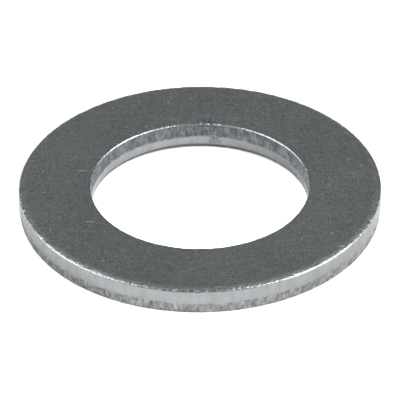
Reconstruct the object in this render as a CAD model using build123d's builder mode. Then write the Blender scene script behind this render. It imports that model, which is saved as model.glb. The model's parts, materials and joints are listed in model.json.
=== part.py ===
from build123d import *
from math import radians, sin
import os

# Flat washer for an M22 bolt, one solid piece of steel strip, nominally 3 mm thick.
# Origin: centre of the bottom face, on the bore axis. +Z runs up the bore.
#
# The washer is stamped: one punch pierces the bore and a wider one blanks the rim, both
# from what is the bottom face here. So the two sheared walls are mirror images. The bore
# is rolled over at the bottom face, where its punch entered, and breaks away at the top.
# The rim is rolled over at the top face, where it was drawn into the die, and breaks away
# at the bottom. Between the two, each wall has a straight burnished land.

# Washer, in millimetres.
OUTER_DIAMETER = 38.8
BORE_DIAMETER = 23.2
THICKNESS = 2.95

# Rim wall: the top face draws down in a wide arc and turns a tight corner into the land,
# which ends in a break that leans in to the bottom face.
RIM_DRAW_IN_RADIUS = 1.7
RIM_DRAW_IN_ANGLE = 25
RIM_CORNER_RADIUS = 0.20
RIM_LAND_FOOT = 0.40 * THICKNESS
RIM_BREAK_LEAN = 0.14
RIM_TUMBLED_RADIUS = 0.10

# Bore wall: rollover at the bottom face, land, then a break that opens to the top face.
BORE_ROLLOVER_WIDTH = 0.45
BORE_ROLLOVER_DEPTH = 0.42
BORE_LAND_HEAD = 0.46 * THICKNESS
BORE_BREAK_LEAN = 0.10
BORE_TUMBLED_RADIUS = 0.16

rim_radius = OUTER_DIAMETER / 2
bore_radius = BORE_DIAMETER / 2

# Corners of the ring's section, as radius and height.
top_corner_of_break = (bore_radius + BORE_BREAK_LEAN, THICKNESS)
bottom_corner_of_break = (rim_radius - RIM_BREAK_LEAN, 0)
draw_in_slope = sin(radians(RIM_DRAW_IN_ANGLE))
rim_rollover_width = RIM_DRAW_IN_RADIUS * draw_in_slope + RIM_CORNER_RADIUS * (1 - draw_in_slope)
outer_edge_of_face = (rim_radius - rim_rollover_width, THICKNESS)
bore_rollover_centre = (bore_radius + BORE_ROLLOVER_WIDTH, BORE_ROLLOVER_DEPTH)

with BuildPart() as flat_washer:
    with BuildSketch(Plane.XZ) as section:
        with BuildLine() as outline:
            bore_rollover = EllipticalCenterArc(
                bore_rollover_centre,
                BORE_ROLLOVER_WIDTH,
                BORE_ROLLOVER_DEPTH,
                start_angle=180,
                arc_size=90,
            )
            rim_draw_in = JernArc(
                outer_edge_of_face, (1, 0), RIM_DRAW_IN_RADIUS, arc_size=-RIM_DRAW_IN_ANGLE
            )
            rim_corner = JernArc(
                rim_draw_in @ 1,
                rim_draw_in % 1,
                RIM_CORNER_RADIUS,
                arc_size=RIM_DRAW_IN_ANGLE - 90,
            )
            # Bore land, bore break and top face.
            Polyline(
                bore_rollover @ 0,
                (bore_radius, BORE_LAND_HEAD),
                top_corner_of_break,
                outer_edge_of_face,
            )
            # Rim land, rim break and bottom face.
            Polyline(
                rim_corner @ 1,
                (rim_radius, RIM_LAND_FOOT),
                bottom_corner_of_break,
                bore_rollover @ 1,
            )
        make_face()
        # The tumbling barrel rounds off the burr that each break leaves.
        corners = section.vertices()
        fillet(corners.sort_by_distance(top_corner_of_break)[0], radius=BORE_TUMBLED_RADIUS)
        corners = section.vertices()
        fillet(corners.sort_by_distance(bottom_corner_of_break)[0], radius=RIM_TUMBLED_RADIUS)
    revolve(axis=Axis.Z)

flat_washer.part.label = "flat_washer"

os.makedirs("parts", exist_ok=True)
export_step(flat_washer.part, "parts/flat_washer.step")
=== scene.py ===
"""A stamped steel flat washer, with rolled-over edges, burnished lands and torn breaks, in a plain studio."""

from collections import namedtuple
import json
import math

import bmesh
import bpy
from bpy.props import FloatProperty, FloatVectorProperty, IntProperty, PointerProperty
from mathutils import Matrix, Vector


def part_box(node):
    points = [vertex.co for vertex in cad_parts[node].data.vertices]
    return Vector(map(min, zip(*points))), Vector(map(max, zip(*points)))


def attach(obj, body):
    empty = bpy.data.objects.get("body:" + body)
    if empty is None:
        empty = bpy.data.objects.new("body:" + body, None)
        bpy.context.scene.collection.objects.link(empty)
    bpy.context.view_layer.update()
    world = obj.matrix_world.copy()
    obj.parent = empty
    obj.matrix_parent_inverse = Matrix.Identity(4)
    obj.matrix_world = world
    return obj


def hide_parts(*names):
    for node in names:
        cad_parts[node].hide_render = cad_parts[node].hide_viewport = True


bl_info = {
    "name": "Stamped flat washer",
    "version": (1, 0, 0),
    "blender": (4, 5, 0),
    "location": "3D View > Sidebar > Washer",
    "description": "Builds a stamped steel flat washer and the studio that shows it",
    "category": "Add Mesh",
}

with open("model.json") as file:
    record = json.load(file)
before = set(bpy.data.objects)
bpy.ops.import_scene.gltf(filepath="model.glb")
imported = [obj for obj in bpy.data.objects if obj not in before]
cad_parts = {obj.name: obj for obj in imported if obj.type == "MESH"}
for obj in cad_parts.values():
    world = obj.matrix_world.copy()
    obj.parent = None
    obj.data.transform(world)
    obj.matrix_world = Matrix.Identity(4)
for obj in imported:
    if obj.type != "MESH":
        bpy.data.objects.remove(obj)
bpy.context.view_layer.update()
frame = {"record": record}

MM = 0.001
NODE = "flat_washer"
TOUCH = 0.002 * MM

low_corner, high_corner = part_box(NODE)
RIM_RADIUS = high_corner.x
THICKNESS = high_corner.z
BORE_RADIUS = next(m["dims"]["r_mm"] for m in frame["record"]["mounts"] if m["name"] == "bore") * MM
MIDDLE_RADIUS = (BORE_RADIUS + RIM_RADIUS) / 2

SOFTBOX_RISE = 39  # degrees above the floor
SOFTBOX_SPREAD = 60  # degrees across
CAMERA_RISE = 34.7  # degrees above the floor
CAMERA_ROLL = -0.45  # degrees
CAMERA_SHIFT = (-0.0075 * MM, 0.843 * MM)  # sideways and upwards, from the centre of the bottom face
CAMERA_DISTANCE = 36 * RIM_RADIUS
CAMERA_LENS = 586.2  # millimetres, for a sensor 36 mm wide


def linear(hex_colour):
    """An sRGB hex colour as the linear red, green, blue and alpha that Blender's sockets hold."""
    channels = [int(hex_colour[i : i + 2], 16) / 255 for i in (1, 3, 5)]
    return [c / 12.92 if c <= 0.04045 else ((c + 0.055) / 1.055) ** 2.4 for c in channels] + [1.0]


def length(name, description, millimetres):
    """A length of the section as a property."""
    return FloatProperty(
        name=name, description=description, default=millimetres * MM, unit="LENGTH", precision=5
    )


def tint(name, description, hex_colour):
    """A colour, given as sRGB hex, as a property."""
    return FloatVectorProperty(
        name=name, description=description, default=linear(hex_colour), size=4, subtype="COLOR"
    )


class WasherShape(bpy.types.PropertyGroup):
    """The sizes of the stamped ring's section. Its bore, rim and thickness come from the frame."""

    rim_draw_in_radius: length("Rim draw-in radius", "Wide arc in which the top face draws down", 1.7)
    rim_draw_in_angle: FloatProperty(
        name="Rim draw-in angle",
        description="Slope of the top face where the rim's corner starts",
        default=math.radians(25),
        subtype="ANGLE",
    )
    rim_corner_radius: length("Rim corner radius", "Tight corner between the draw-in and the land", 0.20)
    rim_land_foot: length("Rim land foot", "Height at which the rim's burnished land ends", 1.18)
    rim_break_lean: length("Rim break lean", "How far the rim's break leans in at the bottom face", 0.14)
    rim_tumbled: length("Rim tumbled edge", "Rounding of the rim's bottom edge", 0.10)
    bore_roll_width: length("Bore rollover width", "Reach of the bore's rollover into the bottom face", 0.45)
    bore_roll_depth: length("Bore rollover depth", "Reach of the bore's rollover up the wall", 0.42)
    bore_land_head: length("Bore land head", "Height at which the bore's burnished land ends", 1.36)
    bore_break_lean: length("Bore break lean", "How far the bore's break opens at the top face", 0.10)
    bore_tumbled: length("Bore tumbled edge", "Rounding of the bore's top edge", 0.17)
    segments: IntProperty(name="Segments", description="Steps of the spin round the bore", default=960)


class WasherColours(bpy.types.PropertyGroup):
    """The colours of the bare steel, zone by zone, with painted shade in the bore's mouth and on the bore's
    break.
    """

    face: tint("Rolled face", "Dull skin of the rolled strip", "#8a8f90")
    roll: tint("Rolled edge", "Skin stretched and rubbed smooth over the edges", "#878a8b")
    # Painted shade: this dark colour under the bore's rollover stands for shade. The scuff's dark specks use
    # it too.
    mouth: tint("Bore mouth", "Painted shade under the bore's rollover, and the scuff's dark specks", "#5c5e60")
    nick: tint("Nick", "Fresh steel in small nicks", "#d0d4d6")
    land: tint("Burnished land", "Bright wall that the punch or die has wiped", "#808283")
    rim_break: tint("Rim break", "Torn steel at the foot of the rim", "#7b7c7d")
    # Partly painted shade: the bore's torn steel is coloured darker than the rim's to stand for the shade
    # inside the bore.
    bore_break: tint("Bore break", "Torn steel at the head of the bore", "#65676a")


class StudioLight(bpy.types.PropertyGroup):
    """The studio round the washer."""

    floor: tint("Floor", "Matt white sweep", "#fdfdfd")
    surround: tint("Surround", "Unlit walls and ceiling of the studio", "#7f8080")


# Modelling helpers. Each works in edit mode on one object.


def pick(ring, wanted):
    """Selects the vertices whose place passes the test, with the edges and faces between them."""
    bpy.ops.mesh.select_mode(type="VERT")
    bpy.ops.mesh.select_all(action="DESELECT")
    mesh = bmesh.from_edit_mesh(ring.data)
    for vertex in mesh.verts:
        vertex.select = wanted(vertex.co)
    mesh.select_flush(True)
    bmesh.update_edit_mesh(ring.data)


def at(radius, height):
    """A test for a vertex of the section at this radius and height."""
    return lambda place: abs(place.x - radius) < TOUCH and abs(place.z - height) < TOUCH


def between(start, end):
    """A test for the vertices of the section on the straight stretch between two corners."""
    first = Vector((start[0], 0, start[1]))
    run = Vector((end[0], 0, end[1])) - first

    def wanted(place):
        along = (place - first).dot(run) / run.length_squared
        off = (place - first - run * along).length
        return off < TOUCH and -0.001 < along < 1.001

    return wanted


def divide(ring, start, end, parts):
    """Cuts the straight stretch between two corners of the section into equal parts."""
    pick(ring, between(start, end))
    bpy.ops.mesh.subdivide(number_cuts=parts - 1)


def round_corner(ring, corner, width, depth, steps):
    """Rounds a corner of the section: width along the face and depth along the wall."""
    radius, height = corner
    pick(ring, at(radius, height))
    bpy.ops.mesh.bevel(affect="VERTICES", offset=width, segments=steps, profile=0.5)
    if depth != width:
        reach = width + TOUCH
        pick(ring, lambda place: abs(place.x - radius) <= reach and abs(place.z - height) <= reach)
        bpy.ops.transform.resize(value=(1, 1, depth / width), center_override=(0, 0, height))


Rollover = namedtuple(
    "Rollover", ("slope_start", "corner_height", "corner_reach", "bend_reach", "land_head", "face_edge")
)


def rim_rollover(shape):
    """The two corners of the rim's rollover before rounding, and the reach of the arcs that round them."""
    angle = shape.rim_draw_in_angle
    bend_reach = shape.rim_draw_in_radius * math.tan(angle / 2)
    corner_reach = shape.rim_corner_radius * math.tan((math.pi / 2 - angle) / 2)
    slope = bend_reach + corner_reach
    slope_start = RIM_RADIUS - slope * math.cos(angle)
    corner_height = THICKNESS - slope * math.sin(angle)
    land_head = corner_height - corner_reach
    face_edge = slope_start - bend_reach
    return Rollover(slope_start, corner_height, corner_reach, bend_reach, land_head, face_edge)


def draw_section(shape):
    """The ring's section, standing on the XZ plane, as one closed outline."""
    width = RIM_RADIUS - BORE_RADIUS
    bpy.ops.object.select_all(action="DESELECT")
    middle = (MIDDLE_RADIUS, 0, THICKNESS / 2)
    bpy.ops.mesh.primitive_plane_add(size=1, location=middle, rotation=(math.pi / 2, 0, 0))
    ring = bpy.context.object
    ring.name = "stamped_ring"
    ring.data.name = ring.name
    ring.scale = (width, THICKNESS, 1)
    bpy.ops.object.transform_apply(location=True, rotation=True, scale=True)
    bpy.ops.object.mode_set(mode="EDIT")

    # The two breaks lean away from the lands.
    bore_break_top = (BORE_RADIUS + shape.bore_break_lean, THICKNESS)
    rim_break_foot = (RIM_RADIUS - shape.rim_break_lean, 0)
    for wall, mid_height in ((BORE_RADIUS, shape.bore_land_head), (RIM_RADIUS, shape.rim_land_foot)):
        divide(ring, (wall, 0), (wall, THICKNESS), 2)
        pick(ring, at(wall, THICKNESS / 2))
        bpy.ops.transform.translate(value=(0, 0, mid_height - THICKNESS / 2))
    pick(ring, at(BORE_RADIUS, THICKNESS))
    bpy.ops.transform.translate(value=(shape.bore_break_lean, 0, 0))
    pick(ring, at(RIM_RADIUS, 0))
    bpy.ops.transform.translate(value=(-shape.rim_break_lean, 0, 0))

    # The rim's top corner sinks, so that the face slopes down to it from a point further in.
    rollover = rim_rollover(shape)
    divide(ring, bore_break_top, (RIM_RADIUS, THICKNESS), 2)
    face_middle = (bore_break_top[0] + RIM_RADIUS) / 2
    pick(ring, at(face_middle, THICKNESS))
    bpy.ops.transform.translate(value=(rollover.slope_start - face_middle, 0, 0))
    pick(ring, at(RIM_RADIUS, THICKNESS))
    bpy.ops.transform.translate(value=(0, 0, rollover.corner_height - THICKNESS))
    round_corner(ring, (RIM_RADIUS, rollover.corner_height), rollover.corner_reach, rollover.corner_reach, 12)
    round_corner(ring, (rollover.slope_start, THICKNESS), rollover.bend_reach, rollover.bend_reach, 10)

    # A rollover where the punch entered the bore, and tumbled burr edges.
    round_corner(ring, (BORE_RADIUS, 0), shape.bore_roll_width, shape.bore_roll_depth, 6)
    round_corner(ring, bore_break_top, shape.bore_tumbled, shape.bore_tumbled, 4)
    round_corner(ring, rim_break_foot, shape.rim_tumbled, shape.rim_tumbled, 3)
    bpy.ops.mesh.select_all(action="SELECT")
    bpy.ops.mesh.delete(type="ONLY_FACE")

    # Even steps along each stretch, short ones where the steel is torn.
    bore_land_head = (BORE_RADIUS, shape.bore_land_head)
    rim_land_foot = (RIM_RADIUS, shape.rim_land_foot)
    bore_break_lip, face_inner_edge = rounded_ends(bore_break_top, bore_land_head, shape.bore_tumbled)
    rim_break_lip, base_outer_edge = rounded_ends(rim_break_foot, rim_land_foot, shape.rim_tumbled)
    divide(ring, bore_land_head, bore_break_lip, 17)
    divide(ring, (BORE_RADIUS, shape.bore_roll_depth), bore_land_head, 8)
    divide(ring, rim_land_foot, rim_break_lip, 15)
    divide(ring, (RIM_RADIUS, rollover.land_head), rim_land_foot, 8)
    # The face's first step is short, so that the lip's finish doesn't bleed into the face.
    face_steps = 12
    face_step = (rollover.face_edge - face_inner_edge[0]) / face_steps
    divide(ring, face_inner_edge, (rollover.face_edge, THICKNESS), face_steps)
    pick(ring, at(face_inner_edge[0] + face_step, THICKNESS))
    bpy.ops.transform.translate(value=(0.5 * shape.bore_tumbled - face_step, 0, 0))
    divide(ring, (BORE_RADIUS + shape.bore_roll_width, 0), base_outer_edge, 8)
    bpy.ops.object.mode_set(mode="OBJECT")
    return ring


def rounded_ends(corner, far_end, reach):
    """Where a rounded corner of the section meets its break and its flat face."""
    to_far = Vector((far_end[0] - corner[0], far_end[1] - corner[1]))
    on_break = Vector(corner) + to_far.normalized() * reach
    flat_side = 1 if corner[0] < MIDDLE_RADIUS else -1
    return tuple(on_break), (corner[0] + flat_side * reach, corner[1])


def ramp(value, low, high):
    """0 at low, 1 at high, straight between them."""
    return min(max((value - low) / (high - low), 0), 1)


def paint_zones(ring, shape):
    """Weights on the section for what each stretch went through in the press."""
    tear_start = 0.20 * MM
    break_reach = 0.7 * MM
    rollover = rim_rollover(shape)
    lip = (BORE_RADIUS + shape.bore_break_lean + shape.bore_tumbled, THICKNESS - shape.bore_tumbled)

    def torn(place):
        if place.x < MIDDLE_RADIUS:
            wall = place.x < BORE_RADIUS + shape.bore_break_lean + TOUCH
            low, high = shape.bore_land_head - tear_start / 2, shape.bore_land_head + tear_start
            return ramp(place.z, low, high) if wall else 0
        wall = place.x > RIM_RADIUS - shape.rim_break_lean - TOUCH
        low, high = shape.rim_land_foot + tear_start / 2, shape.rim_land_foot - tear_start
        return ramp(place.z, low, high) if wall else 0

    def wiped(place):
        if place.x < MIDDLE_RADIUS:
            on_land = place.x < BORE_RADIUS + TOUCH and place.z < shape.bore_land_head + TOUCH
            return 1 if on_land else 0
        on_land = place.x > RIM_RADIUS - TOUCH and place.z > shape.rim_land_foot - TOUCH
        return 1 if on_land else 0

    def rolled(place):
        if place.x > MIDDLE_RADIUS and place.z > rollover.land_head - TOUCH:
            return ramp(place.x, rollover.slope_start, RIM_RADIUS - 0.8 * shape.rim_corner_radius)
        if place.x < MIDDLE_RADIUS and place.z > lip[1] - TOUCH:
            return ramp(place.x, lip[0] + 0.5 * shape.bore_tumbled, lip[0] - 0.2 * shape.bore_tumbled)
        return 0

    # The bore's rollover on the bottom face. The material paints shade there.
    def mouth(place):
        if place.x < MIDDLE_RADIUS and place.z < shape.bore_roll_depth + TOUCH:
            outer_edge = BORE_RADIUS + shape.bore_roll_width
            return ramp(place.x, outer_edge, outer_edge - shape.bore_roll_width / 2)
        return 0

    def break_line(place):
        if place.x < MIDDLE_RADIUS:
            height = shape.bore_land_head
            wall = place.x < BORE_RADIUS + shape.bore_break_lean + TOUCH
        else:
            height = shape.rim_land_foot
            wall = place.x > RIM_RADIUS - shape.rim_break_lean - TOUCH
        return ramp(abs(place.z - height), break_reach, 0) if wall else 0

    for weight in (torn, wiped, rolled, mouth, break_line):
        zone = ring.vertex_groups.new(name=weight.__name__)
        for vertex in ring.data.vertices:
            zone.add([vertex.index], weight(vertex.co), "REPLACE")


def paint_scuff(ring):
    """Weights for a scuff at +Y in the bore: a stretch of its lip and a spot on its land."""
    scuff = ring.vertex_groups.new(name="scuff")
    lip_middle, lip_depth = 1.1 * MM, 0.35 * MM
    spot_x, spot_z = 1.7 * MM, 0.95 * MM
    spot_flatness = 1.4
    for vertex in ring.data.vertices:
        place = vertex.co
        radius = math.hypot(place.x, place.y)
        if place.y < 0 or abs(place.x) > 4 * MM or radius > BORE_RADIUS + 0.6 * MM:
            continue
        on_lip = place.z > THICKNESS - lip_depth
        lip = ramp(abs(place.x - lip_middle), 1.7 * MM, 0.9 * MM) if on_lip else 0
        from_spot = math.hypot(place.x - spot_x, spot_flatness * (place.z - spot_z))
        spot = ramp(from_spot, 0.9 * MM, 0.4 * MM)
        scuff.add([vertex.index], max(lip, spot), "REPLACE")


def roughen(ring, zone, strength, grain, tall=1.0, direction="NORMAL", mid_level=0.5, depth=1, sparse=False):
    """Displaces one zone by a cloud texture of this grain, drawn out up the wall by the factor tall.

    A sparse one acts only where the cloud is densest, which leaves separate dents.
    """
    bpy.ops.object.empty_add(location=(0, 0, 0))
    grid = bpy.context.object
    grid.scale = (1, 1, tall)
    bpy.context.view_layer.update()
    texture = bpy.data.textures.new(zone, "CLOUDS")
    texture.noise_scale = grain
    texture.noise_depth = depth
    if sparse:
        texture.use_color_ramp = True
        dent_edge, dent_floor = texture.color_ramp.elements
        dent_edge.position = 0.60
        dent_edge.color = (0, 0, 0, 1)
        dent_floor.position = 0.80
        dent_floor.color = (1, 1, 1, 1)
    bpy.context.view_layer.objects.active = ring
    bpy.ops.object.modifier_add(type="DISPLACE")
    relief = ring.modifiers[-1]
    relief.texture = texture
    relief.texture_coords = "OBJECT"
    relief.texture_coords_object = grid
    relief.vertex_group = zone
    relief.direction = direction
    relief.strength = strength
    relief.mid_level = mid_level
    bpy.ops.object.modifier_apply(modifier=relief.name)
    bpy.data.objects.remove(grid)


def publish_zones(ring):
    """Turns the zone weights into attributes of the mesh, which its material reads."""
    for name in ("torn", "wiped", "rolled", "mouth", "scuff"):
        group = ring.vertex_groups[name]
        weights = [0.0] * len(ring.data.vertices)
        for vertex in ring.data.vertices:
            for entry in vertex.groups:
                if entry.group == group.index:
                    weights[vertex.index] = entry.weight
        ring.vertex_groups.remove(group)
        ring.data.attributes.new(name, "FLOAT", "POINT").data.foreach_set("value", weights)
    ring.vertex_groups.clear()


def add(tree, kind, inputs, **settings):
    """Adds one node, sets it and fills or links its inputs."""
    made = tree.nodes.new("ShaderNode" + kind)
    for name, value in settings.items():
        setattr(made, name, value)
    for name, value in inputs.items():
        if isinstance(value, bpy.types.NodeSocket):
            tree.links.new(value, made.inputs[name])
        else:
            made.inputs[name].default_value = value
    return made


def pattern(tree, place, per_mm, detail=2.0, squeeze=(1, 1, 1), roughness=0.5):
    """Noise of so many grains per millimetre, as a factor from 0 to 1. A squeeze under 1 draws it out."""
    stretched = add(tree, "VectorMath", {0: place, 1: squeeze}, operation="MULTIPLY").outputs[0]
    noise = {"Vector": stretched, "Scale": per_mm, "Detail": detail, "Roughness": roughness}
    return add(tree, "TexNoise", noise).outputs[0]


def spread(tree, factor, low, high, start=0.3, end=0.7):
    """Maps the middle of a noise, from start to end, onto low to high."""
    sockets = {"Value": factor, "From Min": start, "From Max": end, "To Min": low, "To Max": high}
    return add(tree, "MapRange", sockets).outputs[0]


def blend_number(tree, factor, under, over):
    """One number where the factor is 0 and another where it is 1."""
    return add(tree, "Mix", {0: factor, 2: under, 3: over}).outputs[0]


def shade(tree, colour, factor):
    """A colour made lighter or darker by a factor near 1."""
    grey = add(tree, "CombineColor", {0: factor, 1: factor, 2: factor}).outputs[0]
    mixed = add(tree, "MixRGB", {0: 1.0, 1: colour, 2: grey}, blend_type="MULTIPLY")
    return mixed.outputs[0]


def painted(tree, name):
    """The weight of one of the ring's zones."""
    return add(tree, "Attribute", {}, attribute_name=name).outputs["Fac"]


def marks(tree, place, per_mm, squeeze, turn, share, width):
    """A few small marks on the top and bottom faces, drawn out along one direction and a little bent.

    The face is split into cells, and the given share of them has a mark, of this width in millimetres.
    """
    wobble = add(tree, "TexNoise", {"Vector": place, "Scale": 0.6}).outputs["Color"]
    bent = add(tree, "VectorMath", {0: place, 1: wobble}, operation="ADD").outputs[0]
    rotation = (0, 0, math.radians(turn))
    turned = add(tree, "Mapping", {"Vector": bent, "Rotation": rotation, "Scale": (*squeeze, 1)}).outputs[0]
    cells = add(tree, "TexVoronoi", {"Vector": turned, "Scale": per_mm}, voronoi_dimensions="2D")
    edge = width * per_mm
    inside = spread(tree, cells.outputs["Distance"], 1.0, 0.0, start=0.4 * edge, end=edge)
    chance = add(tree, "SeparateColor", {0: cells.outputs["Color"]}).outputs[0]
    chosen = add(tree, "Math", {0: chance, 1: share}, operation="LESS_THAN").outputs[0]
    return add(tree, "Math", {0: inside, 1: chosen}, operation="MULTIPLY").outputs[0]


def rolled_face(tree, place, colours):
    """Cold-rolled skin dulled in the barrel: dark, even, matt, with a fine grain and a few bright nicks."""
    # The real grain is about 0.03 mm, too fine to show, so it is drawn at about 0.14 mm.
    grain = pattern(tree, place, 7.0, detail=1.5)
    clouds = pattern(tree, place, 0.12, detail=4.0)
    # The rollers left faint streaks along X, some hundredths of a millimetre wide and drawn at 0.25 mm.
    streaks = pattern(tree, place, 4.0, detail=3.0, squeeze=(0.10, 1, 1))
    grainy = spread(tree, grain, 0.80, 1.20)
    cloudy = spread(tree, clouds, 0.93, 1.07)
    streaky = spread(tree, streaks, 0.945, 1.055)
    tone = add(tree, "Math", {0: grainy, 1: cloudy}, operation="MULTIPLY").outputs[0]
    tone = add(tree, "Math", {0: tone, 1: streaky}, operation="MULTIPLY").outputs[0]
    # Nicks and short scratches from other washers in the barrel.
    nicks = marks(tree, place, per_mm=0.30, squeeze=(1, 1), turn=0, share=0.40, width=0.12)
    scratches = marks(tree, place, per_mm=0.22, squeeze=(1, 0.16), turn=35, share=0.40, width=0.09)
    cross_scratches = marks(tree, place, per_mm=0.20, squeeze=(0.16, 1), turn=20, share=0.44, width=0.10)
    either = add(tree, "Math", {0: scratches, 1: cross_scratches}, operation="MAXIMUM").outputs[0]
    bright = add(tree, "Math", {0: nicks, 1: either}, operation="MAXIMUM").outputs[0]
    colour = add(tree, "MixRGB", {0: bright, 1: shade(tree, colours.face, tone), 2: colours.nick}).outputs[0]
    rough = spread(tree, grain, 0.36, 0.48)
    return colour, rough, grain


def outside_of(tree, place):
    """1 on the rim's wall and 0 on the bore's."""
    flat = add(tree, "VectorMath", {0: place, 1: (1, 1, 0)}, operation="MULTIPLY").outputs[0]
    radius = add(tree, "VectorMath", {0: flat}, operation="LENGTH").outputs["Value"]
    return add(tree, "Math", {0: radius, 1: MIDDLE_RADIUS / MM}, operation="GREATER_THAN").outputs[0]


def burnished_land(tree, place, colours):
    """Steel wiped smooth by the punch or the die: light, with fine draw lines straight up the wall, and
    painted lighter on the bore's -X side.
    """
    # Real draw lines are some hundredths of a millimetre apart, too fine to show. These are 0.17 mm apart.
    lines = pattern(tree, place, 6.0, detail=2.0, squeeze=(1, 1, 0.06))
    smears = pattern(tree, place, 1.1, detail=2.0, squeeze=(1, 1, 0.4))
    lined = spread(tree, lines, 0.95, 1.05)
    smeared = spread(tree, smears, 0.91, 1.09)
    tone = add(tree, "Math", {0: lined, 1: smeared}, operation="MULTIPLY").outputs[0]
    # Painted light: the bore's land is lighter on its -X side, which faces the stronger right softbox, and
    # darker on its +X side.
    across = add(tree, "SeparateXYZ", {0: place}).outputs["X"]
    bore = BORE_RADIUS / MM
    bore_side_light = spread(tree, across, 1.22, 0.86, start=-bore, end=bore)
    bore_side_light = blend_number(tree, outside_of(tree, place), bore_side_light, 1.0)
    tone = add(tree, "Math", {0: tone, 1: bore_side_light}, operation="MULTIPLY").outputs[0]
    return shade(tree, colours.land, tone), spread(tree, lines, 0.27, 0.37), lines


def torn_break(tree, place, colours):
    """Steel that tore through: coarse and dull, with ragged vertical ridges, painted darker inside the bore
    for shade and painted lighter on the rim's +X side.
    """
    ridges = pattern(tree, place, 3.2, detail=4.0, squeeze=(1, 1, 0.35), roughness=0.65)
    patches = pattern(tree, place, 0.9, detail=3.0, squeeze=(1, 1, 0.8))
    outside = outside_of(tree, place)
    # Partly painted shade: the torn steel is coloured darker inside the bore than on the rim.
    base = add(tree, "MixRGB", {0: outside, 1: colours.bore_break, 2: colours.rim_break}).outputs[0]
    darkest = blend_number(tree, outside, 0.60, 0.46)
    lightest = blend_number(tree, outside, 1.36, 1.50)
    patchy = spread(tree, patches, 0.72, 1.24)
    tone = spread(tree, ridges, darkest, lightest)
    tone = add(tree, "Math", {0: tone, 1: patchy}, operation="MULTIPLY").outputs[0]
    # Painted light: the rim's break is lighter on its +X side, which faces the stronger right softbox.
    across = add(tree, "SeparateXYZ", {0: place}).outputs["X"]
    rim_side_light = spread(tree, across, 0.90, 1.18, start=-RIM_RADIUS / MM, end=RIM_RADIUS / MM)
    rim_side_light = blend_number(tree, outside, 1.0, rim_side_light)
    tone = add(tree, "Math", {0: tone, 1: rim_side_light}, operation="MULTIPLY").outputs[0]
    # Where the tear starts, it has pulled small dark notches out of the land.
    torn = painted(tree, "torn")
    whole = add(tree, "Math", {0: 1.0, 1: torn}, operation="SUBTRACT").outputs[0]
    tear_start = add(tree, "Math", {0: torn, 1: whole}, operation="MULTIPLY").outputs[0]
    bites = pattern(tree, place, 1.6, detail=2.0, squeeze=(1, 1, 2))
    bites = spread(tree, bites, 0.0, 1.0, start=0.48, end=0.54)
    notch = add(tree, "Math", {0: tear_start, 1: bites}, operation="MULTIPLY").outputs[0]
    dark = spread(tree, notch, 1.0, 0.40, start=0.0, end=0.2)
    tone = add(tree, "Math", {0: tone, 1: dark}, operation="MULTIPLY").outputs[0]
    return shade(tree, base, tone), spread(tree, ridges, 0.6, 0.48), ridges


def bare_steel(colours):
    """Plain bare carbon steel: dull dark grey on the faces, light on the lands, coarse on the breaks."""
    material = bpy.data.materials.new("plain stamped steel")
    material.use_nodes = True
    tree = material.node_tree
    shader = tree.nodes["Principled BSDF"]
    where = add(tree, "TexCoord", {}).outputs["Object"]
    place = add(tree, "VectorMath", {0: where, "Scale": 1 / MM}, operation="SCALE").outputs[0]
    face_colour, face_rough, face_relief = rolled_face(tree, place, colours)
    land_colour, land_rough, land_relief = burnished_land(tree, place, colours)
    torn_colour, torn_rough, torn_relief = torn_break(tree, place, colours)
    wiped, torn, rolled, mouth = (painted(tree, name) for name in ("wiped", "torn", "rolled", "mouth"))

    colour = add(tree, "MixRGB", {0: rolled, 1: face_colour, 2: colours.roll}).outputs[0]
    colour = add(tree, "MixRGB", {0: wiped, 1: colour, 2: land_colour}).outputs[0]
    # Painted shade: the bore's mouth, under its rollover, is coloured dark.
    colour = add(tree, "MixRGB", {0: mouth, 1: colour, 2: colours.mouth}).outputs[0]
    colour = add(tree, "MixRGB", {0: torn, 1: colour, 2: torn_colour}).outputs[0]
    # The scuff is speckled dark, about four specks to the millimetre.
    specks = spread(tree, pattern(tree, place, 4.0, detail=1.0), 0.0, 1.0, start=0.46, end=0.56)
    speckled = add(tree, "Math", {0: painted(tree, "scuff"), 1: specks}, operation="MULTIPLY").outputs[0]
    colour = add(tree, "MixRGB", {0: speckled, 1: colour, 2: colours.mouth}).outputs[0]
    rubbed = spread(tree, pattern(tree, place, 2.5, detail=3.0), 0.24, 0.46)
    rough = blend_number(tree, rolled, face_rough, rubbed)
    rough = blend_number(tree, wiped, rough, land_rough)
    rough = blend_number(tree, torn, rough, torn_rough)

    # The grain is 0.005 mm deep, the draw lines 0.002 mm and the torn steel's fine relief 0.04 mm.
    normal = add(tree, "Bump", {"Height": face_relief, "Strength": 1.0, "Distance": 0.005 * MM}).outputs[0]
    drawn = {"Height": land_relief, "Strength": wiped, "Distance": 0.002 * MM, "Normal": normal}
    normal = add(tree, "Bump", drawn).outputs[0]
    ragged = {"Height": torn_relief, "Strength": torn, "Distance": 0.04 * MM, "Normal": normal}
    normal = add(tree, "Bump", ragged).outputs[0]
    tree.links.new(colour, shader.inputs["Base Color"])
    tree.links.new(rough, shader.inputs["Roughness"])
    tree.links.new(normal, shader.inputs["Normal"])
    shader.inputs["Metallic"].default_value = 1.0
    return material


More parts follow.
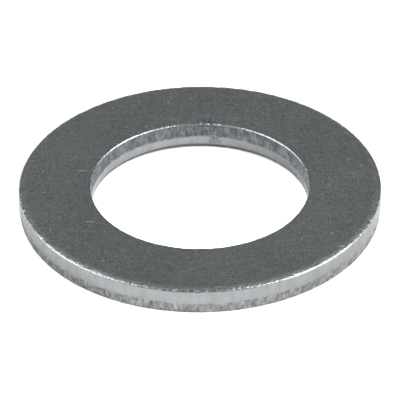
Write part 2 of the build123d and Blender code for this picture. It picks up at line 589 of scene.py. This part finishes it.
class WASHER_OT_ring(bpy.types.Operator):
    """Stamp the washer's ring and give it its steel"""

    bl_idname = "washer.ring"
    bl_label = "Stamp the ring"

    def execute(self, context):
        shape = context.scene.washer_shape
        ring = draw_section(shape)
        paint_zones(ring, shape)
        bpy.ops.object.mode_set(mode="EDIT")
        bpy.ops.mesh.select_all(action="SELECT")
        bpy.ops.mesh.spin(steps=shape.segments, angle=math.tau, center=(0, 0, 0), axis=(0, 0, 1))
        bpy.ops.mesh.select_all(action="SELECT")
        bpy.ops.mesh.remove_doubles(threshold=TOUCH)
        bpy.ops.mesh.normals_make_consistent(inside=False)
        bpy.ops.object.mode_set(mode="OBJECT")

        # The crack ran unevenly, so the break starts along a wandering, toothed line.
        roughen(ring, "break_line", 0.34 * MM, 2.6 * MM, direction="Z", depth=2)
        roughen(ring, "break_line", 0.16 * MM, 0.35 * MM, direction="Z")
        # Torn steel stands in ridges up the wall, on average level with the land.
        roughen(ring, "torn", 0.11 * MM, 0.28 * MM, tall=2.0, mid_level=0.55, depth=3)
        roughen(ring, "torn", 0.10 * MM, 0.7 * MM, mid_level=0.55)
        # The rollovers are drawn, not cut, and ripple a little.
        roughen(ring, "rolled", 0.05 * MM, 0.9 * MM, depth=2)
        roughen(ring, "rolled", 0.032 * MM, 0.20 * MM, depth=1)
        roughen(ring, "mouth", 0.02 * MM, 0.6 * MM, depth=1)
        # The one scuff in the bore.
        paint_scuff(ring)
        roughen(ring, "scuff", 0.16 * MM, 0.25 * MM, depth=1)
        # Other washers in the barrel have dented the edges here and there.
        roughen(ring, "rolled", -0.028 * MM, 0.5 * MM, mid_level=0, depth=1, sparse=True)
        publish_zones(ring)
        bpy.ops.object.shade_smooth_by_angle(angle=math.radians(40))
        ring.data.materials.append(bare_steel(context.scene.washer_colours))
        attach(ring, "root")
        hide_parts(NODE)
        return {"FINISHED"}


class WASHER_OT_stage(bpy.types.Operator):
    """Lay the white floor, set the lights and place the camera"""

    bl_idname = "washer.stage"
    bl_label = "Set the stage"

    def execute(self, context):
        studio = context.scene.washer_studio
        bpy.ops.object.select_all(action="DESELECT")
        bpy.ops.mesh.primitive_plane_add(size=8)
        floor = context.object
        floor.name = "floor"
        # Matt white paper: even and pale, without a reflection of the washer.
        paint = bpy.data.materials.new("matt white sweep")
        paint.use_nodes = True
        shader = paint.node_tree.nodes["Principled BSDF"]
        shader.inputs["Base Color"].default_value = studio.floor
        shader.inputs["Roughness"].default_value = 0.9
        shader.inputs["Specular IOR Level"].default_value = 0.0
        floor.data.materials.append(paint)

        world = bpy.data.worlds.new("studio")
        world.use_nodes = True
        world.node_tree.nodes["Background"].inputs["Color"].default_value = studio.surround
        context.scene.world = world

        # Each softbox is as many degrees from the front, round to the right, as its second value says.
        for name, azimuth, energy in (("right softbox", 81, 6.1), ("left softbox", -88, 4.3)):
            turn = math.radians(azimuth)
            rise = math.radians(SOFTBOX_RISE)
            bpy.ops.object.light_add(type="SUN", location=(0, 0, 1))
            lamp = context.object
            lamp.name = name
            towards = Vector((math.sin(turn), -math.cos(turn), math.tan(rise)))
            lamp.rotation_euler = towards.to_track_quat("Z", "Y").to_euler()
            lamp.data.energy = energy
            lamp.data.angle = math.radians(SOFTBOX_SPREAD)

        rise = math.radians(CAMERA_RISE)
        away = Vector((0, -math.cos(rise), math.sin(rise)))
        upwards = Vector((0, math.sin(rise), math.cos(rise)))
        sideways_shift, upward_shift = CAMERA_SHIFT
        aim = Vector((sideways_shift, 0, 0)) + upwards * upward_shift
        bpy.ops.object.camera_add(location=aim + away * CAMERA_DISTANCE)
        camera = context.object
        camera.rotation_euler = away.to_track_quat("Z", "Y").to_euler()
        camera.rotation_euler.rotate_axis("Z", math.radians(CAMERA_ROLL))
        camera.data.sensor_width = 36
        camera.data.lens = CAMERA_LENS
        camera.data.clip_start = 0.01
        camera.data.clip_end = 20
        context.scene.camera = camera
        context.scene.view_settings.view_transform = "Standard"
        return {"FINISHED"}


class WASHER_PT_sidebar(bpy.types.Panel):
    """The washer's sizes, colours and steps"""

    bl_label = "Stamped flat washer"
    bl_space_type = "VIEW_3D"
    bl_region_type = "UI"
    bl_category = "Washer"

    def draw(self, context):
        for group in (context.scene.washer_shape, context.scene.washer_colours, context.scene.washer_studio):
            for name in type(group).__annotations__:
                self.layout.prop(group, name)
        for operator in OPERATORS:
            self.layout.operator(operator.bl_idname)


GROUPS = {"washer_shape": WasherShape, "washer_colours": WasherColours, "washer_studio": StudioLight}
OPERATORS = (WASHER_OT_ring, WASHER_OT_stage)
CLASSES = (*GROUPS.values(), *OPERATORS, WASHER_PT_sidebar)


def register():
    for one in CLASSES:
        bpy.utils.register_class(one)
    for name, group in GROUPS.items():
        setattr(bpy.types.Scene, name, PointerProperty(type=group))


def unregister():
    for name in GROUPS:
        delattr(bpy.types.Scene, name)
    for one in reversed(CLASSES):
        bpy.utils.unregister_class(one)


def main():
    register()
    bpy.ops.washer.ring()
    bpy.ops.washer.stage()


if __name__ == "__main__":
    main()
